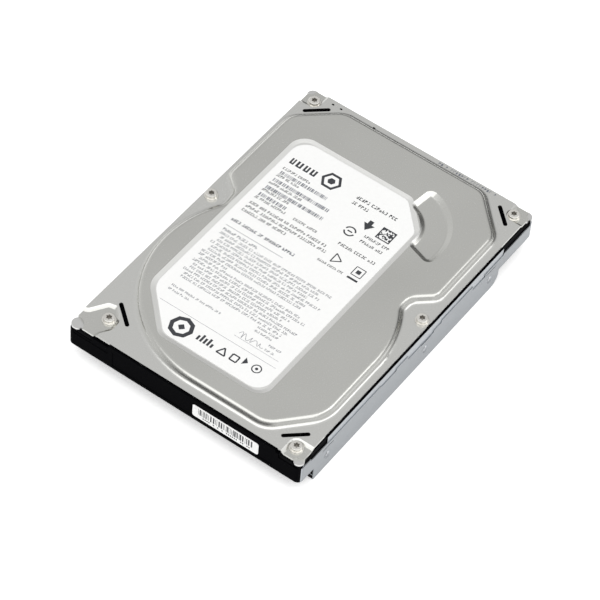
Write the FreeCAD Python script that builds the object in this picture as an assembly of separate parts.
import FreeCAD, Part
import math
import os

# Slim 3.5-inch hard disk drive with one platter, cover face up, in millimetres.
# +X runs across the drive, +Y towards the connector end, +Z up out of the cover.
# The origin is the middle of the footprint, on the plane of the rails' feet.

# ---------------------------------------------------------------- driving sizes
WIDTH = 101.6
LENGTH = 147.0
HEIGHT = 19.98
HALF_W = WIDTH / 2
HALF_L = LENGTH / 2

# Heights of the main levels
RAIL_H = 6.5            # underside of the casting above the rails' feet
DECK_TOP = 8.3          # floor of the sealed cavity
RIM_TOP = 16.1          # rim that carries the gasket and the cover's corner tabs
SHEET = 0.8             # cover sheet
FLANGE_TOP = 17.78
FLANGE_BOTTOM = FLANGE_TOP - SHEET
LIP_TOP = 17.2          # casting lip in front of the cover's front edge

# Cover
COVER_HALF_W = 49.9
COVER_HALF_L = 72.6
DOME_RUN = 1.5          # width of the dome's sloping wall
BEND = 2.0              # bend radius of the dome's shoulder and foot
CRESCENT_BEND = 1.5
SLOT_W = 1.6            # slots beside the corner tabs
CORNER_CUTS = [(49.3, -73.1, 2.6), (-49.6, -73.4, 4.6), (50.6, 72.4, 2.4), (-50.4, 72.2, 2.6)]
SLOTS = [
    ((-40.8, -55.9), (-33.4, -62.0)),
    ((38.6, -67.0), (45.0, -61.2)),
    ((38.8, 67.6), (45.0, 61.8)),
    ((-38.5, 67.2), (-45.2, 61.2)),
]
VENT_X = (-38.7, -35.0, -19.8)
TAB_CORNER_R = 2.0
TAB_RUN = 1.3           # width of the ramps down to the corner tabs
LABEL_RECESS = 0.35
CRESCENT_DEPTH = 1.2
CRESCENT = (11.7, 33.6)   # centre of the crescent depression's arcs
CRESCENT_IN_R = 12.0
CRESCENT_OUT_R = 24.0
LABEL_T = 0.1

# Spindle
SPINDLE = (0.0, -21.5)
DISC_R = 47.5
DISC_BORE_R = 12.5
DISC_T = 1.27
DISC_Z = 12.0
DISC_TOP = DISC_Z + DISC_T
BOWL_R = 48.4           # cavity wall round the disc
CUP_R = 14.6            # motor cup under the casting
CUP_BOTTOM = 2.2
SHAFT_R = 2.0
SHAFT_CLEARANCE = 0.04
SLEEVE_R = 3.0
STATOR_BOSS_R = 4.6     # casting's boss that carries the stator and the sleeve
HUB_TOP = 13.2

# Actuator
PIVOT = (10.9, 34.5)
PARK_ANGLE = 204.8      # direction of the arm from its pivot when parked
ARM_REACH = 51.0        # pivot to the gap of the heads
PIVOT_R = 2.4
PIVOT_CLEARANCE = 0.05
PIVOT_SEAT_Z = 9.0
PIVOT_STUD_R = 1.5
COIL_ANGLE = PARK_ANGLE - 180.0
SWING = 34.0            # parked on the ramp to the inner track

# Voice-coil motor
YOKE_T = 1.5
MAGNET_T = 1.4
LOWER_YOKE_Z = DECK_TOP
LOWER_MAGNET_Z = LOWER_YOKE_Z + YOKE_T
COIL_Z = 12.1
COIL_T = 1.6
COIL_IN_R = 13.6
COIL_OUT_R = 23.8
COIL_SPREAD = 16.0      # half the angle that the coil covers
UPPER_YOKE_Z = 15.6
UPPER_MAGNET_Z = UPPER_YOKE_Z - MAGNET_T
MAGNET_IN_R = 14.0
MAGNET_OUT_R = 24.0
YOKE_IN_R = 12.6
YOKE_OUT_R = 29.6
YOKE_POST_R = 27.6
YOKE_POST_ANGLES = (-5.0, 85.0)
TANG_OUT_R = 28.6       # end of the coil frame's stop tang
STOP_R = 27.2           # where the crash stops stand
STOP_PIN_R = 1.6

# Fasteners
COVER_SCREWS = [
    (-46.9, 5.3, FLANGE_TOP),
    (46.9, 5.3, FLANGE_TOP),
    (-40.2, -63.6, RIM_TOP + SHEET),
    (44.9, -67.9, RIM_TOP + SHEET),
    (44.9, 67.7, RIM_TOP + SHEET),
    (-45.2, 67.4, RIM_TOP + SHEET),
]
SCREW_HEAD_R = 2.65     # flange under the pan head
SCREW_HEAD_H = 1.6
SCREW_PAN_R = 2.2
SCREW_SHANK_R = 1.25
SCREW_LENGTH = 6.0
SIX32_HOLE_R = 1.42     # tapped holes for number 6-32 screws
SIX32_MOUTH_R = 1.85
MOUTH_DEPTH = 0.4       # countersink of the tapped holes
SIDE_HOLE_Z = 6.35
SIDE_HOLE_Y = [HALF_L - 28.5, HALF_L - 70.1, HALF_L - 130.1]
BOTTOM_HOLE_X = 47.625
BOTTOM_HOLE_Y = [HALF_L - 41.28, HALF_L - 85.73, HALF_L - 117.48]

# Actuator details
ARM_Z = 14.3            # underside of the upper arm
ARM_T = 1.0
CARTRIDGE_R = 4.6
TAB_END_R = 55.2        # lift tab at the suspension's tip
ARM_HUB_R = 7.6
CARRIER_ANGLE = -75.0   # of the head amplifier round the hub, from the arm's own direction
RIBBON_CENTRE = (-4.3, 41.0)
RIBBON_R = 9.0
RIBBON_T = 0.2
RIBBON_LOW = 11.1
RIBBON_HIGH = 14.2
LATCH_R = 31.9
LATCH_ANGLE = 12.0
LATCH_PIN_R = 1.3
RAMP_IN_R = 53.1
RAMP_OUT_R = 55.6
RAMP_LOW = 11.42
RAMP_HIGH = 13.85

# Drive plug
PLUG_FRONT = 73.3
PLUG_MOUTH_DEPTH_Y = 66.8
POWER_MIDDLE = 15.4
SIGNAL_MIDDLE = 31.6
POWER_BLADE = (POWER_MIDDLE - 9.8, POWER_MIDDLE + 9.8)
SIGNAL_BLADE = (SIGNAL_MIDDLE - 4.5, SIGNAL_MIDDLE + 4.5)
BLADE_TOP = 0.63        # top of the blades above the plug's middle
CONTACT_PITCH = 1.27
PLUG_X = 20.68          # middle of the drive plug across the drive
PLUG_Z = 3.5
PLUG_HALF_W = 16.7

# Casting
RAIL_IN_X = 44.45
RAIL_FRONT = -64.5
RAIL_BACK = 51.0
RAIL_POCKET = 1.6
LIP_FROM = -33.0
LIP_TO = 40.0
FRONT_SKIN = 0.15
SIDE_HOLE_DEPTH = 5.0
BOTTOM_HOLE_DEPTH = 5.0
CORNER_STEP_Z = 14.2
CORNER_POSTS = [        # place, how far the low step runs in from the side, radius
    (48.5, -71.2, 9.5, 2.0),
    (-48.2, -70.9, 10.5, 2.5),
    (48.2, 70.9, 8.0, 2.5),
    (-48.2, 70.9, 8.0, 2.5),
]
FLOOR_POCKET_IN_R = 17.5
FLOOR_POCKET_OUT_R = 31.0
FLOOR_POCKET_DEPTH = 0.6
CORNER_POCKET_TOP = 13.4
SIDE_BAND = 0.25        # depth of the as-cast band high on the sides
SIDE_BAND_STEPS = [     # from, to, and the height where the band begins
    (-57.0, -24.7, 12.9),
    (-24.7, -15.5, 12.3),
    (-15.5, -8.0, 13.4),
    (-8.0, 8.0, 11.4),
    (8.0, 13.0, 12.3),
    (13.0, 33.0, 13.4),
    (33.0, 41.0, 11.4),
    (41.0, 53.0, 12.6),
]
SIDE_PATCHES = [(-67.0, -57.0), (53.0, 70.6)]
SIDE_PATCH_DEPTH = 0.8
SIDE_PATCH_Z = 13.3
RAMP_SCREW = (-40.5, 19.3)
FLEX_SCREWS = [(-23.5, 48.5), (-23.5, 56.5)]
FLEX_PORT = (-21.5, -12.5, 50.0, 55.0)
BREATHER = (-35.0, 54.5)

# Circuit board
BOARD_Z = 1.7
BOARD_T = 1.0
BOARD_TOP = BOARD_Z + BOARD_T
BOARD_SCREWS = [(-40.5, 2.5), (40.5, 2.5), (-40.5, 40.0), (40.3, 55.0), (-40.5, 67.0), (-8.0, 66.5)]

parts = {}


# ---------------------------------------------------------------- small helpers
def vec(x, y, z=0.0):
    return FreeCAD.Vector(x, y, z)


def polar(centre, radius, degrees):
    angle = math.radians(degrees)
    return (centre[0] + radius * math.cos(angle), centre[1] + radius * math.sin(angle))


def box(x0, x1, y0, y1, z0, z1):
    return Part.makeBox(x1 - x0, y1 - y0, z1 - z0, vec(x0, y0, z0))


def cylinder(centre, radius, z0, z1):
    return Part.makeCylinder(radius, z1 - z0, vec(centre[0], centre[1], z0))


def ring(centre, inner, outer, z0, z1):
    return cylinder(centre, outer, z0, z1).cut(cylinder(centre, inner, z0 - 1, z1 + 1))


def rounded_outline(points, radii):
    """Closed wire of straight runs joined by tangent arcs, one radius per corner."""
    count = len(points)
    if not isinstance(radii, list):
        radii = [radii] * count
    twice_area = 0.0
    for i in range(count):
        twice_area += points[i - 1][0] * points[i][1] - points[i][0] * points[i - 1][1]
    if twice_area < 0:
        points = points[::-1]
        radii = radii[::-1]
    corners = []
    for i in range(count):
        here = vec(*points[i])
        back = (vec(*points[i - 1]) - here).normalize()
        ahead = (vec(*points[(i + 1) % count]) - here).normalize()
        if radii[i] <= 0:
            corners.append((here, None, here))
            continue
        half = back.getAngle(ahead) / 2
        reach = radii[i] / math.tan(half)
        middle = (back + ahead).normalize()
        centre = here + middle * (radii[i] / math.sin(half))
        corners.append((here + back * reach, centre - middle * radii[i], here + ahead * reach))
    edges = []
    for i in range(count):
        start, top, end = corners[i]
        if top is not None:
            edges.append(Part.Arc(start, top, end).toShape())
        following = corners[(i + 1) % count][0]
        if end.distanceToPoint(following) > 1e-6:
            edges.append(Part.LineSegment(end, following).toShape())
    return Part.Wire(edges)


def outline_face(points, radii=0.0):
    return Part.Face(rounded_outline(points, radii))


def prism(face, z0, z1):
    solid = face.copy()
    solid.translate(vec(0, 0, z0))
    return solid.extrude(vec(0, 0, z1 - z0))


def sector_face(centre, inner, outer, start, end):
    """Flat annular sector between two angles in degrees."""
    middle = (start + end) / 2
    corner = [polar(centre, inner, start), polar(centre, outer, start),
              polar(centre, outer, end), polar(centre, inner, end)]
    edges = [
        Part.LineSegment(vec(*corner[0]), vec(*corner[1])).toShape(),
        Part.Arc(vec(*corner[1]), vec(*polar(centre, outer, middle)), vec(*corner[2])).toShape(),
        Part.LineSegment(vec(*corner[2]), vec(*corner[3])).toShape(),
        Part.Arc(vec(*corner[3]), vec(*polar(centre, inner, middle)), vec(*corner[0])).toShape(),
    ]
    return Part.Face(Part.Wire(edges))


def disc_face(centre, radius):
    return Part.Face(Part.Wire(Part.makeCircle(radius, vec(centre[0], centre[1], 0))))


def merged(faces):
    """One flat face out of overlapping flat faces."""
    slab = joined([prism(face, 0, 1) for face in faces])
    top = [face for face in slab.Faces if face.CenterOfMass.z > 0.999]
    outline = top[0].OuterWire
    outline.translate(vec(0, 0, -1))
    return Part.Face(outline)


def grown(face, distance):
    """The face with its outline moved out, or in where the distance is negative."""
    return Part.Face(face.makeOffset2D(distance).Wires[0])


def softened(face, concave, convex):
    """The face with its inner and outer corners rounded."""
    closed = grown(grown(face, concave), -concave)
    return grown(grown(closed, -convex), convex)


def is_upright(edge):
    if not isinstance(edge.Curve, (Part.Line, Part.LineSegment)):
        return False
    ends = [v.Point for v in edge.Vertexes]
    return abs(ends[0].x - ends[1].x) < 1e-6 and abs(ends[0].y - ends[1].y) < 1e-6


def round_uprights(solid, radius):
    return solid.makeFillet(radius, [e for e in solid.Edges if is_upright(e)])


def edges_at(solid, z):
    """Edges that lie in the horizontal plane at z."""
    found = []
    for edge in solid.Edges:
        low = edge.BoundBox.ZMin
        high = edge.BoundBox.ZMax
        if abs(low - z) < 1e-4 and abs(high - z) < 1e-4:
            found.append(edge)
    return found


def turned(shape, centre, degrees):
    copy = shape.copy()
    copy.rotate(vec(centre[0], centre[1], 0), vec(0, 0, 1), degrees)
    return copy


def joined(shapes):
    return shapes[0].multiFuse(shapes[1:]).removeSplitter()


def keep(name, shape):
    parts[name] = shape


# ---------------------------------------------------------------- shared outlines
def back_bay(inset):
    """The room behind the disc, between the cover's four back screws."""
    side = 48.3 - inset
    right = 46.9 - inset
    back = 69.6 - inset
    slant = inset * 0.414
    points = [
        (-side, 55.2 - slant), (-32.3 + slant, back),
        (31.0 - slant, back), (right, 53.4 - slant),
        (right, 16.2 + slant), (39.6 - inset * 0.2, 9.6 + slant), (39.0 - inset * 0.2, 0.0),
        (-40.2 - inset * 0.7, 0.0), (-41.2 - inset * 0.7, 11.0 + slant), (-side, 17.0 + slant),
    ]
    return outline_face(points, [9.0, 9.0, 8.0, 9.0, 6.0, 2.5, 0, 0, 2.5, 5.0])


def dome_outline():
    """Foot of the cover's raised dome: the disc's circle, the back bay and a front corner."""
    zone = disc_face((-0.65, SPINDLE[1]), 47.6)
    front = outline_face([(46.9, SPINDLE[1]), (46.9, -52.5), (32.0, -69.1), (-0.65, -69.1),
                          (-0.65, SPINDLE[1])], [0, 16.0, 10.0, 0, 0])
    return softened(merged([zone, back_bay(0.0), front]), 5.0, 2.5)


def cavity_outline():
    return softened(merged([disc_face(SPINDLE, BOWL_R), back_bay(2.0)]), 2.0, 1.5)


# ---------------------------------------------------------------- cover
def pressed_up(outline, base_z, rise, bend):
    """A raised panel with a sloping wall and a rounded shoulder, standing on base_z."""
    block = prism(outline, base_z - 2.0, base_z + rise)
    block = block.makeChamfer(rise, DOME_RUN, edges_at(block, base_z + rise))
    return block.makeFillet(bend, edges_at(block, base_z + rise))


def pressed_down(outline, face_z, depth, run, bend=0.0):
    """Cutter for a sunken panel whose sloping wall starts at the outline on face_z."""
    block = prism(outline, face_z - depth, face_z + 4.0)
    block = block.makeChamfer(depth, run, edges_at(block, face_z - depth))
    if bend > 0:
        block = block.makeFillet(bend, edges_at(block, face_z - depth))
    return block


def corner_cuts():
    """Rounded notches that bare the casting's posts at the cover's corners."""
    cuts = []
    for x, y, radius in CORNER_CUTS:
        cuts.append(cylinder((x, y), radius, FLANGE_BOTTOM - 3, FLANGE_TOP + 1))
    return cuts


def tab_outlines():
    """The four bent-down corner tabs, each an outline that runs past the sheet's edge."""
    front_right = [(41.6, -80), (41.6, -66.2), (43.6, -64.4), (60, -64.4), (60, -80)]
    front_left = [(-60, -64.8), (-49.0, -64.8), (-44.6, -58.0), (-41.0, -57.2), (-38.2, -59.6),
                  (-36.2, -63.0), (-36.0, -67.0), (-38.6, -71.0), (-40.0, -80), (-60, -80)]
    back_right = [(42.4, 80), (42.4, 67.0), (44.4, 64.6), (60, 64.6), (60, 80)]
    back_left = [(-42.2, 80), (-42.2, 66.4), (-44.2, 64.2), (-60, 64.2), (-60, 80)]
    tabs = (front_right, front_left, back_right, back_left)
    return [outline_face(points, TAB_CORNER_R) for points in tabs]


def slot_at(start, end, width):
    """Upright round-ended slot cutter through the flange."""
    length = math.hypot(end[0] - start[0], end[1] - start[1])
    angle = math.degrees(math.atan2(end[1] - start[1], end[0] - start[0]))
    bar = box(0, length, -width / 2, width / 2, FLANGE_BOTTOM - 3, FLANGE_TOP + 1)
    bar = bar.fuse(cylinder((0, 0), width / 2, FLANGE_BOTTOM - 3, FLANGE_TOP + 1))
    bar = bar.fuse(cylinder((length, 0), width / 2, FLANGE_BOTTOM - 3, FLANGE_TOP + 1))
    bar.rotate(vec(0, 0, 0), vec(0, 0, 1), angle)
    bar.translate(vec(start[0], start[1], 0))
    return bar


def label_outline(margin):
    """The label, or with a margin the recess that it lies in."""
    left = -36.5 - margin
    right = 22.5 + margin
    top = 47.5 + margin
    bottom = -58.2 - margin
    cut = margin * 0.414
    return outline_face([(left, top), (11.5 + cut, top), (right, 36.0 + cut), (right, bottom),
                         (-20.5 - cut, bottom), (left, -42.0 - cut)], [7.0, 4.0, 4.0, 6.0, 6.0, 9.0])


def crescent_outline(margin):
    """Stiffening depression over the voice-coil magnets."""
    face = sector_face(CRESCENT, CRESCENT_IN_R - margin, CRESCENT_OUT_R + margin, -18.0, 82.5)
    return softened(face, 1.0, 2.8)


def cover_body(lift, dome):
    """Everything under the sheet's top face; lift -SHEET gives the underside."""
    top = HEIGHT + lift
    foot = FLANGE_TOP + lift
    flange = box(-COVER_HALF_W, COVER_HALF_W, -COVER_HALF_L, COVER_HALF_L, FLANGE_BOTTOM - 3, foot)
    body = flange.fuse(pressed_up(dome, foot, top - foot, BEND))
    body = body.makeFillet(BEND, [e for e in edges_at(body, foot) if not on_sheet_edge(e)])
    body = body.cut(pressed_down(crescent_outline(0.0), top, CRESCENT_DEPTH, 2.0, CRESCENT_BEND))
    body = body.cut(pressed_down(label_outline(2.0), top, LABEL_RECESS, 1.8))
    for outline in tab_outlines():
        body = body.cut(pressed_down(outline, foot, FLANGE_TOP - RIM_TOP - SHEET, TAB_RUN))
    return body


def on_sheet_edge(edge):
    """True for an edge along the flange's straight outer border."""
    middle = edge.CenterOfMass
    return abs(middle.x) > COVER_HALF_W - 0.01 or abs(middle.y) > COVER_HALF_L - 0.01


def make_cover():
    dome = dome_outline()
    inner_dome = grown(dome, -0.35)
    outer = cover_body(0.0, dome)
    inner = cover_body(-SHEET, inner_dome)
    sheet = outer.cut(inner)
    for cut in corner_cuts():
        sheet = sheet.cut(cut)
    for start, end in SLOTS:
        sheet = sheet.cut(slot_at(start, end, SLOT_W))
    for x, y, z in COVER_SCREWS:
        sheet = sheet.cut(cylinder((x, y), 1.7, RIM_TOP - 1, z + 1))
        sheet = sheet.cut(cylinder((x, y), SCREW_HEAD_R + 0.1, z, z + 1))
    for x in VENT_X:
        sheet = sheet.cut(box(x - 0.5, x + 0.5, 70.1, 70.8, FLANGE_BOTTOM - 1, FLANGE_TOP + 1))
    keep("top_cover", sheet)


def make_cover_trim():
    label = prism(grown(label_outline(0.0), -0.1), HEIGHT - LABEL_RECESS, HEIGHT - LABEL_RECESS + LABEL_T)
    keep("top_label", label)
    keep("front_label", make_front_label())
    both = merged([dome_outline(), cavity_outline()])
    inner = grown(both, 0.4)
    outer = grown(both, 1.4)
    gasket = prism(outer, RIM_TOP, FLANGE_BOTTOM).cut(prism(inner, RIM_TOP - 1, FLANGE_BOTTOM + 1))
    keep("cover_gasket", gasket)


def make_front_label():
    face = outline_face([(4.5, 8.5), (33.0, 8.5), (33.0, 14.6), (4.5, 14.6)], 1.0)
    slab = prism(face, 0, LABEL_T)
    slab.rotate(vec(0, 0, 0), vec(1, 0, 0), 90)
    slab.translate(vec(0, -HALF_L + FRONT_SKIN, 0))
    return slab


def star_socket(x, y, z, radius, depth):
    """Six-lobed driver recess cut down from z."""
    cutter = cylinder((x, y), radius * 0.72, z - depth, z + 1)
    lobes = []
    for i in range(6):
        lobes.append(cylinder(polar((x, y), radius * 0.72, 60 * i), radius * 0.26, z - depth, z + 1))
    return cutter.multiFuse(lobes)


def cover_screw(x, y, z):
    """Low pan head on a wide flange, with a star recess."""
    top = z + SCREW_HEAD_H
    flange = cylinder((x, y), SCREW_HEAD_R, z, z + 0.5)
    flange = flange.makeFillet(0.18, edges_at(flange, z + 0.5))
    head = cylinder((x, y), SCREW_PAN_R, z, top)
    head = head.makeFillet(0.25, edges_at(head, top))
    shank = cylinder((x, y), SCREW_SHANK_R, z - SCREW_LENGTH, z + 0.2)
    return flange.fuse(head).fuse(shank).cut(star_socket(x, y, top, 1.2, 1.1))


def make_cover_screws():
    keep("cover_screws", Part.makeCompound([cover_screw(*place) for place in COVER_SCREWS]))


# ---------------------------------------------------------------- base casting
def footprint():
    """Outer outline of the casting: cut-back front and back corners."""
    x = HALF_W
    y = HALF_L
    return outline_face([(-x, -y), (x, -y), (x, y), (-x, y)], [2.2, 2.2, 2.6, 2.6])


def rail(side):
    """One mounting rail, from its foot up into the casting's body."""
    x0 = side * RAIL_IN_X
    x1 = side * HALF_W
    low = min(x0, x1)
    high = max(x0, x1)
    bar = box(low, high, RAIL_FRONT, RAIL_BACK, 0, RAIL_H + 0.5)
    end = box(low - 1, high + 1, RAIL_BACK - 4.5, RAIL_BACK + 1, -1, 4.5)
    curve = Part.makeCylinder(4.5, high - low + 2, vec(low - 1, RAIL_BACK - 4.5, 4.5), vec(1, 0, 0))
    bar = bar.cut(end.cut(curve))
    middle = side * BOTTOM_HOLE_X
    stops = [RAIL_FRONT + 2.5] + sorted(BOTTOM_HOLE_Y) + [RAIL_BACK - 8.0]
    for start, finish in zip(stops[:-1], stops[1:]):
        length = finish - start
        if length > 14:
            pocket = box(middle - 1.7, middle + 1.7, start + 5.0, finish - 5.0, -1, RAIL_POCKET)
            bar = bar.cut(round_uprights(pocket, 1.2))
    return bar


def rim_posts():
    """Bosses that carry the cover's screws up to the sheet."""
    bosses = []
    for x, y, z in COVER_SCREWS:
        bosses.append(cylinder((x, y), 3.4, RAIL_H, z - SHEET))
    return bosses


def inside_footprint(solid):
    return solid.common(prism(footprint(), 0, HEIGHT))


def casting_body():
    body = prism(footprint(), RAIL_H, RIM_TOP)
    body = body.cut(prism(cavity_outline(), DECK_TOP, RIM_TOP + 1))
    lip = box(LIP_FROM, LIP_TO, -HALF_L, -COVER_HALF_L - 0.2, RIM_TOP - 1, LIP_TOP)
    posts = [inside_footprint(post) for post in rim_posts()]
    cup = cylinder(SPINDLE, CUP_R, CUP_BOTTOM, DECK_TOP)
    cup = cup.makeFillet(0.8, edges_at(cup, CUP_BOTTOM))
    return joined([body, lip, rail(-1), rail(1), cup] + posts)


def corner_pockets():
    """Weight-saving pockets under the casting's corners, outside the disc's bowl."""
    cutters = []
    bowl = cylinder(SPINDLE, BOWL_R + 2.0, 0, HEIGHT)
    for side, screw in ((-1, COVER_SCREWS[2]), (1, COVER_SCREWS[3])):
        points = [(side * 4.0, -HALF_L + 2.2), (side * 48.4, -HALF_L + 2.2), (side * 48.4, -46.0),
                  (side * 4.0, -46.0)]
        pocket = prism(outline_face(points, 1.5), RAIL_H - 1, CORNER_POCKET_TOP)
        pocket = pocket.cut(bowl).cut(cylinder(screw[:2], 4.4, 0, HEIGHT))
        pocket = pocket.cut(cylinder((side * 47.6, -HALF_L + 16.9), 4.6, 0, HEIGHT))
        cutters.append(pocket)
    return cutters


def floor_pockets():
    """Shallow pockets between ribs, under the front half of the disc."""
    cutters = []
    for start in range(150, 390, 40):
        face = sector_face(SPINDLE, FLOOR_POCKET_IN_R, FLOOR_POCKET_OUT_R, start + 3, start + 37)
        cutters.append(round_uprights(prism(face, RAIL_H - 1, RAIL_H + FLOOR_POCKET_DEPTH), 2.0))
    return cutters


def motor_pocket():
    """Room for the motor inside the cup, round a central boss."""
    room = ring(SPINDLE, STATOR_BOSS_R, 13.3, CUP_BOTTOM + 1.2, DECK_TOP + 0.5)
    above = cylinder(SPINDLE, 13.3, 8.0, DECK_TOP + 0.5)
    bore = cylinder(SPINDLE, SLEEVE_R, CUP_BOTTOM + 0.6, DECK_TOP + 0.5)
    return [room, above, bore]


def side_box(side, depth, y0, y1, z0, z1):
    """Box that takes the given depth off one long side."""
    near = side * (HALF_W - depth)
    far = side * (HALF_W + 1)
    return box(min(near, far), max(near, far), y0, y1, z0, z1)


def side_relief(side):
    """Shallow as-cast band high on the side, and the sunken corner patches."""
    cutters = []
    for start, finish, height in SIDE_BAND_STEPS:
        cutters.append(side_box(side, SIDE_BAND, start, finish, height, RIM_TOP + 3))
    for start, finish in SIDE_PATCHES:
        cutters.append(side_box(side, SIDE_PATCH_DEPTH, start, finish, SIDE_PATCH_Z, RIM_TOP + 3))
    return cutters


def hole_cutters():
    """Tapped mounting holes, with their countersinks, and the ledges above the side holes."""
    cutters = []
    for side in (-1, 1):
        for y in SIDE_HOLE_Y:
            start = vec(side * HALF_W, y, SIDE_HOLE_Z)
            inward = vec(-side, 0, 0)
            cutters.append(Part.makeCylinder(SIX32_HOLE_R, SIDE_HOLE_DEPTH, start, inward))
            cutters.append(Part.makeCone(SIX32_MOUTH_R, SIX32_HOLE_R, MOUTH_DEPTH, start, inward))
            cutters.append(side_box(side, 0.3, y - 3.2, y + 3.2, 11.0, 11.35))
        for y in BOTTOM_HOLE_Y:
            start = vec(side * BOTTOM_HOLE_X, y, 0)
            cutters.append(Part.makeCylinder(SIX32_HOLE_R, BOTTOM_HOLE_DEPTH, start, vec(0, 0, 1)))
            cutters.append(Part.makeCone(SIX32_MOUTH_R, SIX32_HOLE_R, MOUTH_DEPTH, start, vec(0, 0, 1)))
    for x, y, z in COVER_SCREWS:
        cutters.append(cylinder((x, y), SCREW_SHANK_R, z - SHEET - SCREW_LENGTH, z + 1))
    return cutters


def front_relief():
    """Skin taken off the front wall beside the raised lip, and a shallow panel for the label."""
    return [box(-HALF_W + 2.2, LIP_FROM, -HALF_L - 1, -HALF_L + FRONT_SKIN, 12.9, RIM_TOP + 1),
            box(LIP_FROM + 2, LIP_TO - 1, -HALF_L - 1, -HALF_L + FRONT_SKIN, 7.8, 15.2)]


def board_bosses():
    bosses = []
    for x, y in BOARD_SCREWS:
        bosses.append(cylinder((x, y), 2.6, BOARD_TOP, RAIL_H + 0.5))
    return bosses


def inner_holes():
    holes = [cylinder(PIVOT, PIVOT_STUD_R, RAIL_H + 0.6, PIVOT_SEAT_Z + 1)]
    for x, y in [RAMP_SCREW] + FLEX_SCREWS:
        holes.append(cylinder((x, y), 0.8, RAIL_H + 0.5, DECK_TOP + 1))
    for angle in YOKE_POST_ANGLES:
        x, y = polar(PIVOT, YOKE_POST_R, angle)
        holes.append(cylinder((x, y), 1.0, RAIL_H + 0.5, DECK_TOP + 1))
    for x, y in BOARD_SCREWS:
        holes.append(cylinder((x, y), 1.0, BOARD_TOP - 1, RAIL_H + 1.0))
    x, y = BREATHER
    holes.append(cylinder((x, y), 0.6, RAIL_H - 1, DECK_TOP + 1))
    holes.append(box(FLEX_PORT[0], FLEX_PORT[1], FLEX_PORT[2], FLEX_PORT[3], RAIL_H - 1, DECK_TOP + 1))
    return holes


def corner_steps():
    """Outer wall dropped below the cover's corner tabs, leaving the corner posts standing."""
    cutters = []
    for x, y, depth, radius in CORNER_POSTS:
        across = math.copysign(1.0, x)
        along = math.copysign(1.0, y)
        ends = [across * (HALF_W - 1.5), across * (HALF_W + 1)]
        beside = [along * (HALF_L - 7.5), along * (HALF_L + 1)]
        strip = box(min(ends), max(ends), min(beside), max(beside), CORNER_STEP_Z, RIM_TOP + 1)
        ends = [across * (HALF_W - depth), across * (HALF_W + 1)]
        beside = [along * (HALF_L - 1.5), along * (HALF_L + 1)]
        shelf = box(min(ends), max(ends), min(beside), max(beside), CORNER_STEP_Z, RIM_TOP + 1)
        cutters.append(strip.fuse(shelf).cut(cylinder((x, y), radius, 0, HEIGHT)))
    return cutters


def plug_bay():
    """Room in the casting's back edge for the drive plug and the option pins."""
    return box(PLUG_X - PLUG_HALF_W - 1.2, 44.45, 60.5, HALF_L + 1, -1, 7.4)


def make_base():
    base = casting_body()
    cutters = corner_pockets() + floor_pockets() + motor_pocket() + side_relief(-1) + side_relief(1)
    cutters += front_relief() + hole_cutters() + corner_steps() + [plug_bay()]
    base = base.cut(cutters)
    base = joined([base] + board_bosses() + [cylinder(PIVOT, 5.0, DECK_TOP - 0.5, PIVOT_SEAT_Z)])
    base = base.cut(inner_holes())
    keep("base_casting", base)


# ---------------------------------------------------------------- spindle motor and disc
def make_motor():
    sleeve = ring(SPINDLE, SHAFT_R + SHAFT_CLEARANCE, SLEEVE_R, CUP_BOTTOM + 0.6, 9.6)
    keep("spindle_sleeve", sleeve)
    core = ring(SPINDLE, STATOR_BOSS_R + 0.05, 6.2, 5.0, 8.0)
    teeth = []
    coils = []
    for i in range(12):
        tooth = box(5.8, 10.2, -0.75, 0.75, 5.0, 8.0)
        shoe = prism(sector_face((0, 0), 9.9, 10.6, -12, 12), 5.0, 8.0)
        coil = box(6.5, 9.5, -1.35, 1.35, 4.3, 8.7)
        coil = round_uprights(coil, 0.4).cut(box(6, 10, -0.75, 0.75, 5.0, 8.0))
        for piece, group in ((tooth, teeth), (shoe, teeth), (coil, coils)):
            placed = turned(piece, (0, 0), 30 * i)
            placed.translate(vec(*SPINDLE))
            group.append(placed)
    keep("stator_core", joined([core] + teeth))
    keep("stator_windings", Part.makeCompound(coils))
    keep("spindle_shaft", cylinder(SPINDLE, SHAFT_R, CUP_BOTTOM + 0.9, HUB_TOP))
    hub = cylinder(SPINDLE, 12.9, 4.4, 11.0)
    hub = hub.fuse(cylinder(SPINDLE, 15.5, 11.0, DISC_Z))
    hub = hub.fuse(cylinder(SPINDLE, DISC_BORE_R - 0.05, DISC_Z, HUB_TOP))
    hub = hub.cut(cylinder(SPINDLE, 11.9, 4.0, 10.6)).cut(cylinder(SPINDLE, SHAFT_R, 9, HUB_TOP + 1))
    for x, y in clamp_screw_places():
        hub = hub.cut(cylinder((x, y), 0.7, 10.9, HUB_TOP + 1))
    keep("spindle_hub", hub)
    keep("rotor_magnet", ring(SPINDLE, 11.0, 11.9, 4.6, 9.4))


def clamp_screw_places():
    return [polar(SPINDLE, 7.6, 60 * i + 15) for i in range(6)]


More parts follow.
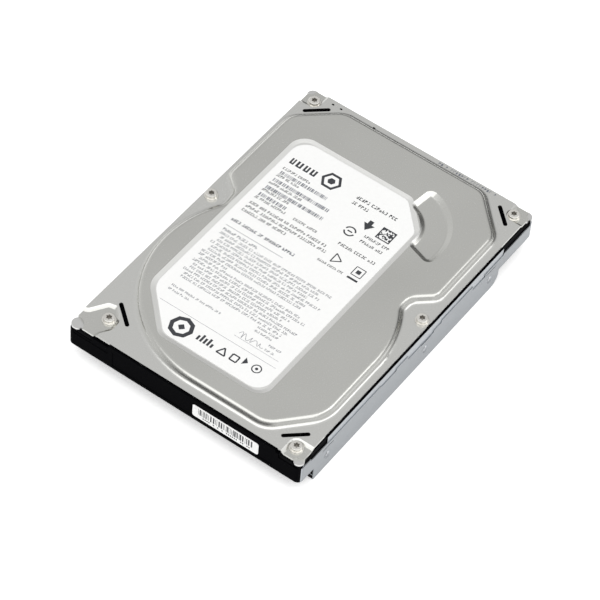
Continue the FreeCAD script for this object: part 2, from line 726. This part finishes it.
def make_disc_stack():
    keep("platter", ring(SPINDLE, DISC_BORE_R, DISC_R, DISC_Z, DISC_TOP))
    profile = [(3.2, HUB_TOP + 0.1), (9.6, HUB_TOP + 0.1), (13.8, HUB_TOP + 0.5), (14.4, DISC_TOP),
               (16.2, DISC_TOP), (16.6, HUB_TOP + 1.1), (10.2, HUB_TOP + 0.9), (3.2, HUB_TOP + 0.9)]
    loop = Part.makePolygon([vec(r, 0, z) for r, z in profile + profile[:1]])
    clamp = Part.Face(loop).revolve(vec(0, 0, 0), vec(0, 0, 1), 360)
    clamp.translate(vec(*SPINDLE))
    screws = []
    for x, y in clamp_screw_places():
        clamp = clamp.cut(cylinder((x, y), 0.8, HUB_TOP - 1, HUB_TOP + 2))
        screw = cylinder((x, y), 0.7, 11.0, HUB_TOP + 1.0)
        head = cylinder((x, y), 1.5, HUB_TOP + 0.9, HUB_TOP + 1.8)
        head = head.makeFillet(0.25, edges_at(head, HUB_TOP + 1.8))
        screws.append(screw.fuse(head).cut(star_socket(x, y, HUB_TOP + 1.8, 0.8, 0.5)))
    keep("disc_clamp", clamp)
    keep("clamp_screws", Part.makeCompound(screws))


# ---------------------------------------------------------------- actuator
def rounded_sector(inner, outer, start, end, radius, z0, z1):
    """Annular sector round the actuator's pivot, with rounded corners."""
    return round_uprights(prism(sector_face(PIVOT, inner, outer, start, end), z0, z1), radius)


def on_arm(shape):
    """Put a shape drawn with the pivot at the origin and the arm along +X in its parked place."""
    placed = turned(shape, (0, 0), PARK_ANGLE)
    placed.translate(vec(*PIVOT))
    return placed


def below_disc(shape):
    """The same piece on the disc's other side."""
    middle = DISC_Z + DISC_T / 2
    return shape.mirror(vec(0, 0, middle), vec(0, 0, 1))


def arm_plate():
    plate = outline_face([(0, -6.4), (14, -5.6), (33.5, -3.0), (33.5, 3.0), (14, 5.6), (0, 6.4)], 1.2)
    window = outline_face([(12, -2.9), (25, -1.5), (25, 1.5), (12, 2.9)], 0.8)
    return prism(plate, ARM_Z, ARM_Z + ARM_T).cut(prism(window, ARM_Z - 1, ARM_Z + ARM_T + 1))


def coil_fork():
    prongs = []
    for side in (-1, 1):
        start = 180 + side * 19.8 - 1.7
        face = sector_face((0, 0), 6.5, 24.5, start, start + 3.4)
        prongs.append(prism(face, COIL_Z - 0.1, COIL_Z + COIL_T + 0.1))
    return prongs


def make_arm_block():
    block_top = ARM_Z + ARM_T + 0.6
    block_bottom = below_disc(arm_plate()).BoundBox.ZMin - 0.4
    hub = cylinder((0, 0), ARM_HUB_R, block_bottom, block_top)
    hub = hub.makeFillet(0.5, edges_at(hub, block_top) + edges_at(hub, block_bottom))
    block = joined([hub, arm_plate(), below_disc(arm_plate())] + coil_fork())
    block = block.cut(cylinder((0, 0), CARTRIDGE_R, 0, HEIGHT))
    keep("arm_block", on_arm(block))
    cartridge = ring((0, 0), PIVOT_R + PIVOT_CLEARANCE, CARTRIDGE_R, block_bottom, block_top + 0.2)
    keep("pivot_bearing", on_arm(cartridge))


def make_pivot_shaft():
    flange = cylinder(PIVOT, 3.4, PIVOT_SEAT_Z, PIVOT_SEAT_Z + 0.25)
    post = cylinder(PIVOT, PIVOT_R, PIVOT_SEAT_Z, 17.2)
    stud = cylinder(PIVOT, PIVOT_STUD_R, RAIL_H + 0.6, PIVOT_SEAT_Z + 0.2)
    slot = box(PIVOT[0] - 3, PIVOT[0] + 3, PIVOT[1] - 0.4, PIVOT[1] + 0.4, 16.6, 18)
    keep("pivot_shaft", joined([flange, post, stud]).cut(slot))


def make_suspensions():
    beam_z = ARM_Z - 0.2
    side_view = [(27, ARM_Z), (27, beam_z), (35, beam_z), (50, 13.62), (52, 13.62), (52.9, 13.95),
                 (TAB_END_R, 13.95), (TAB_END_R, 14.07), (52.8, 14.07), (51.9, 13.74), (50, 13.74),
                 (35.5, ARM_Z - 0.02), (33.6, ARM_Z)]
    loop = Part.makePolygon([vec(x, -8, z) for x, z in side_view + side_view[:1]])
    beam = Part.Face(loop).extrude(vec(0, 16, 0))
    plan = outline_face([(27, -3.0), (34, -3.0), (49.5, -1.0), (52.3, -1.0), (52.7, -0.5),
                         (TAB_END_R, -0.5), (TAB_END_R, 0.5), (52.7, 0.5), (52.3, 1.0), (49.5, 1.0),
                         (34, 3.0), (27, 3.0)])
    upper = beam.common(prism(plan, 10, 16))
    keep("upper_suspension", on_arm(upper))
    keep("lower_suspension", on_arm(below_disc(upper)))
    slider = box(ARM_REACH - 0.6, ARM_REACH + 0.6, -0.5, 0.5, DISC_TOP + 0.05, 13.62)
    keep("upper_slider", on_arm(slider))
    keep("lower_slider", on_arm(below_disc(slider)))


def make_voice_coil():
    top = COIL_Z + COIL_T
    start = COIL_ANGLE - COIL_SPREAD
    end = COIL_ANGLE + COIL_SPREAD
    block = rounded_sector(COIL_IN_R, COIL_OUT_R, start, end, 2.0, COIL_Z, top)
    window = rounded_sector(16.4, 21.0, start + 8, end - 8, 1.0, COIL_Z - 1, top + 1)
    keep("voice_coil", block.cut(window))
    frame = sector_face(PIVOT, 9.4, 25.5, COIL_ANGLE - 18.1, COIL_ANGLE + 18.1)
    tang = sector_face(PIVOT, 24.5, TANG_OUT_R, COIL_ANGLE - 3, COIL_ANGLE + 3)
    plate = prism(merged([frame, tang]), COIL_Z - 0.1, top + 0.1)
    opening = rounded_sector(COIL_IN_R, COIL_OUT_R, start, end, 2.0, COIL_Z - 1, top + 1)
    keep("coil_frame", plate.cut(opening))


def on_hub_side(shape):
    """Put a shape drawn on the +Y side of the arm's hub where the ribbon meets the hub."""
    return on_arm(turned(shape, (0, 0), CARRIER_ANGLE - 90))


def make_head_flex():
    """Amplifier chip on the arm block, and the ribbon that loops from it to the bulkhead connector."""
    chip_box = box(-0.3, 2.9, ARM_HUB_R + 0.02, ARM_HUB_R + 0.9, 11.4, 13.9)
    backing = box(-3.4, 3.4, 6.8, ARM_HUB_R + 0.02, RIBBON_LOW, RIBBON_HIGH)
    backing = backing.cut(cylinder((0, 0), ARM_HUB_R, 0, HEIGHT))
    keep("preamp_chip", on_hub_side(chip_box))
    keep("preamp_carrier", on_hub_side(backing))
    ribbon = sector_face(RIBBON_CENTRE, RIBBON_R, RIBBON_R + RIBBON_T, -10.0, 102.0)
    keep("head_ribbon", prism(ribbon, RIBBON_LOW, RIBBON_HIGH))
    body = box(-26.5, -6.4, 46.0, 58.5, DECK_TOP, DECK_TOP + 1.5)
    body = round_uprights(body, 1.5)
    clip = box(-9.0, -6.4, 48.0, 52.0, DECK_TOP + 1.0, RIBBON_HIGH)
    plinth = box(-20.5, -10.5, 50.5, 56.5, DECK_TOP + 1.0, DECK_TOP + 3.2)
    bracket = joined([body, clip, plinth])
    for x, y in FLEX_SCREWS:
        bracket = bracket.cut(cylinder((x, y), 0.8, 0, HEIGHT))
    keep("ribbon_connector", bracket)
    keep("head_contact_block", box(FLEX_PORT[0] + 0.3, FLEX_PORT[1] - 0.3, FLEX_PORT[2] + 0.3,
                                   FLEX_PORT[3] - 0.3, BOARD_TOP, DECK_TOP))


# ---------------------------------------------------------------- voice-coil motor and stops
def make_yokes():
    lower = rounded_sector(YOKE_IN_R, YOKE_OUT_R, -10.0, 90.0, 2.5, LOWER_YOKE_Z, LOWER_YOKE_Z + YOKE_T)
    upper = rounded_sector(YOKE_IN_R, YOKE_OUT_R, -10.0, 90.0, 2.5, UPPER_YOKE_Z, UPPER_YOKE_Z + YOKE_T)
    posts = []
    screws = []
    for angle in YOKE_POST_ANGLES:
        place = polar(PIVOT, YOKE_POST_R, angle)
        hole = cylinder(place, 1.0, 0, HEIGHT)
        lower = lower.cut(hole)
        upper = upper.cut(hole)
        posts.append(ring(place, 1.0, 1.8, LOWER_YOKE_Z + YOKE_T, UPPER_YOKE_Z))
        screws.append(machine_screw(place, 1.0, 1.9, RAIL_H + 0.7, UPPER_YOKE_Z + YOKE_T, 0.9))
    keep("lower_yoke", lower)
    keep("upper_yoke", upper)
    for name, z in (("lower_magnet", LOWER_MAGNET_Z), ("upper_magnet", UPPER_MAGNET_Z)):
        keep(name, rounded_sector(MAGNET_IN_R, MAGNET_OUT_R, -4.0, 84.0, 1.2, z, z + MAGNET_T))
    keep("yoke_posts", Part.makeCompound(posts))
    keep("yoke_screws", Part.makeCompound(screws))


def machine_screw(place, shank_r, head_r, z0, z1, head_h):
    """Upright screw whose head sits on z1, or hangs under it where z1 is the lower end."""
    if z1 > z0:
        head = cylinder(place, head_r, z1, z1 + head_h)
        head = head.makeFillet(head_h * 0.35, edges_at(head, z1 + head_h))
        socket = star_socket(place[0], place[1], z1 + head_h, head_r * 0.5, head_h * 0.55)
        return head.fuse(cylinder(place, shank_r, z0, z1 + 0.1)).cut(socket)
    upright = machine_screw(place, shank_r, head_r, -z0, -z1, head_h)
    return upright.mirror(vec(0, 0, 0), vec(0, 0, 1))


def make_stops():
    reach = math.degrees(math.asin(STOP_PIN_R / STOP_R))
    outer = COIL_ANGLE - 3 - reach - 0.4
    inner = COIL_ANGLE + SWING + 3 + reach + 0.4
    stops = []
    for angle in (outer, inner):
        stops.append(cylinder(polar(PIVOT, STOP_R, angle), STOP_PIN_R, LOWER_YOKE_Z + YOKE_T, UPPER_YOKE_Z))
    keep("crash_stops", Part.makeCompound(stops))


def make_latch():
    hinge = polar(PIVOT, LATCH_R, LATCH_ANGLE)
    pin = cylinder(hinge, LATCH_PIN_R, DECK_TOP, 14.4).fuse(cylinder(hinge, 2.0, DECK_TOP, 12.1))
    keep("latch_pin", pin)
    lever = prism(sector_face(PIVOT, 30.7, LATCH_R, LATCH_ANGLE, 31.6), 12.25, 13.6)
    hook = prism(sector_face(PIVOT, 29.3, LATCH_R, 30.0, 32.0), 12.25, 13.6)
    boss = cylinder(hinge, 2.2, 12.25, 13.6)
    latch = joined([lever, hook, boss]).cut(cylinder(hinge, LATCH_PIN_R + PIVOT_CLEARANCE, 0, HEIGHT))
    keep("actuator_latch", latch)


def make_ramp():
    body = prism(sector_face(PIVOT, RAMP_IN_R, RAMP_OUT_R, 198.0, 211.5), RAMP_LOW, RAMP_HIGH)
    body = body.cut(cylinder(SPINDLE, 48.0, DISC_Z - 0.3, DISC_TOP + 0.3))
    foot = prism(sector_face(PIVOT, 51.2, RAMP_OUT_R, 193.0, 200.3), DECK_TOP, RAMP_HIGH)
    ramp = joined([body, foot]).cut(cylinder(RAMP_SCREW, 0.8, 0, HEIGHT))
    keep("load_ramp", ramp)
    keep("ramp_screw", machine_screw(RAMP_SCREW, 0.8, 1.5, RAIL_H + 0.6, RAMP_HIGH, 0.8))


def make_filters():
    pad = round_uprights(box(-7, 7, -1.8, 1.8, DECK_TOP, 15.4), 1.2)
    pad = turned(pad, (0, 0), 40)
    pad.translate(vec(-34.5, 34.5, 0))
    keep("recirculation_filter", pad)
    x, y = BREATHER
    packet = round_uprights(box(x - 5.5, x + 5.5, y - 3.5, y + 3.5, DECK_TOP, DECK_TOP + 3.6), 1.0)
    keep("breather_filter", packet)


# ---------------------------------------------------------------- circuit board
def board_face(inset):
    front = -4.5 + inset
    side = 43.9 - inset
    back = 72.6 - inset
    notch = 61.0 - inset
    step = PLUG_X - PLUG_HALF_W - 1.6 - inset
    return outline_face([(-side + 4, front), (side - 4, front), (side, front + 4), (side, notch),
                         (step, notch), (step, back), (-side, back), (-side, front + 4)], 1.0)


def make_board():
    board = prism(board_face(0.0), BOARD_Z, BOARD_TOP)
    foam = prism(board_face(2.2), RAIL_H - 1.0, RAIL_H)
    screws = []
    for x, y in BOARD_SCREWS:
        board = board.cut(cylinder((x, y), 1.15, 0, HEIGHT))
        foam = foam.cut(cylinder((x, y), 3.2, 0, HEIGHT))
        screws.append(machine_screw((x, y), 1.0, 2.3, RAIL_H + 0.9, BOARD_Z, 0.8))
    port = box(FLEX_PORT[0] - 0.5, FLEX_PORT[1] + 0.5, FLEX_PORT[2] - 0.5, FLEX_PORT[3] + 0.5, 0, HEIGHT)
    foam = foam.cut([port, box(-8, 8, -6, 2.5, 0, HEIGHT)])
    keep("circuit_board", board)
    keep("board_foam", foam)
    keep("board_screws", Part.makeCompound(screws))


def chip(x, y, size_x, size_y, height):
    top = BOARD_TOP + height
    body = box(x - size_x / 2, x + size_x / 2, y - size_y / 2, y + size_y / 2, BOARD_TOP, top)
    return body.makeChamfer(0.12, edges_at(body, top))


def make_chips():
    keep("controller_chip", chip(-2.0, 33.0, 14.0, 14.0, 1.2))
    keep("memory_chip", chip(22.0, 35.0, 11.0, 8.0, 1.0))
    keep("motor_driver_chip", chip(0.0, 11.0, 9.0, 9.0, 0.9))
    small = []
    for row in range(5):
        for column in range(9):
            x = -30.0 + 7.2 * column
            y = 18.5 + 9.0 * row + 1.3 * (column % 3)
            if in_free_area(x, y):
                small.append(chip(x, y, 1.6, 0.9 + 0.3 * (column % 2), 0.6))
    for x in (-26.0, 27.0):
        small.append(chip(x, 8.0, 6.0, 5.0, 2.4))
    keep("small_components", Part.makeCompound(small))


def in_free_area(x, y):
    """Clear of the big chips, the screws and the head connector."""
    taken = [(-2.0, 33.0, 9.0), (22.0, 35.0, 8.0), (0.0, 11.0, 7.0), (-17.0, 52.5, 8.0)]
    taken += [(place[0], place[1], 5.0) for place in BOARD_SCREWS]
    for cx, cy, reach in taken:
        if abs(x - cx) < reach and abs(y - cy) < reach:
            return False
    return True


def make_motor_contacts():
    points = [(-5.0, -9.5), (5.0, -9.5), (6.0, -5.0), (6.0, 1.5), (-6.0, 1.5), (-6.0, -5.0)]
    strip = prism(outline_face(points, 0.8), RAIL_H - 0.2, RAIL_H)
    keep("motor_lead_strip", strip.cut(cylinder(SPINDLE, CUP_R, 0, HEIGHT)))
    springs = []
    for i in range(4):
        x = -4.5 + 3.0 * i
        springs.append(round_uprights(box(x - 0.5, x + 0.5, -2.6, 0.2, BOARD_TOP, RAIL_H - 0.2), 0.3))
    keep("motor_contacts", Part.makeCompound(springs))


# ---------------------------------------------------------------- drive plug
def plug_window(x0, x1):
    return box(x0 - 0.7, x1 + 0.7, PLUG_MOUTH_DEPTH_Y, PLUG_FRONT + 1, 1.5, 5.6)


def tongue(x0, x1):
    """Contact blade with the downward key at its outboard end."""
    blade = box(x0, x1, PLUG_MOUTH_DEPTH_Y - 1, PLUG_FRONT - 0.7, PLUG_Z - 0.6, PLUG_Z + BLADE_TOP)
    key = box(x1 - 1.2, x1, PLUG_MOUTH_DEPTH_Y - 1, PLUG_FRONT - 0.7, 1.9, PLUG_Z)
    return blade.fuse(key)


def contacts(count, middle):
    """Gold strips on a blade and the soldered tails behind them."""
    low = PLUG_Z + BLADE_TOP
    end = PLUG_FRONT - 1.1
    strips = []
    for i in range(count):
        x = middle + CONTACT_PITCH * (i - (count - 1) / 2)
        strips.append(box(x - 0.42, x + 0.42, PLUG_MOUTH_DEPTH_Y, end, low, low + 0.15))
        strips.append(box(x - 0.3, x + 0.3, 59.0, 61.6, BOARD_TOP, BOARD_TOP + 0.25))
    return Part.makeCompound(strips)


def make_plug():
    body = box(PLUG_X - PLUG_HALF_W, PLUG_X + PLUG_HALF_W, 61.6, PLUG_FRONT, 0.8, 6.3)
    body = body.cut([plug_window(*POWER_BLADE), plug_window(*SIGNAL_BLADE)])
    body = joined([body, tongue(*POWER_BLADE), tongue(*SIGNAL_BLADE)])
    keep("drive_plug", body)
    keep("power_contacts", contacts(15, POWER_MIDDLE))
    keep("signal_contacts", contacts(7, SIGNAL_MIDDLE))
    block = round_uprights(box(38.2, 43.9, 62.0, 68.6, 0.8, 6.0), 0.5)
    pins = []
    for x in (40.0, 42.0):
        for z in (2.4, 4.4):
            hole = box(x - 0.32, x + 0.32, 61, 70, z - 0.32, z + 0.32)
            block = block.cut(hole)
            pins.append(box(x - 0.32, x + 0.32, 62.4, 73.0, z - 0.32, z + 0.32))
    keep("option_block", block)
    keep("option_pins", Part.makeCompound(pins))


def main():
    make_cover()
    make_cover_trim()
    make_cover_screws()
    make_base()
    make_motor()
    make_disc_stack()
    make_arm_block()
    make_pivot_shaft()
    make_suspensions()
    make_voice_coil()
    make_head_flex()
    make_yokes()
    make_stops()
    make_latch()
    make_ramp()
    make_filters()
    make_board()
    make_chips()
    make_motor_contacts()
    make_plug()
    os.makedirs("parts", exist_ok=True)
    for name, shape in parts.items():
        shape.exportStep("parts/" + name + ".step")
        print(name, len(shape.Solids), round(shape.Volume, 1), shape.isValid())


main()
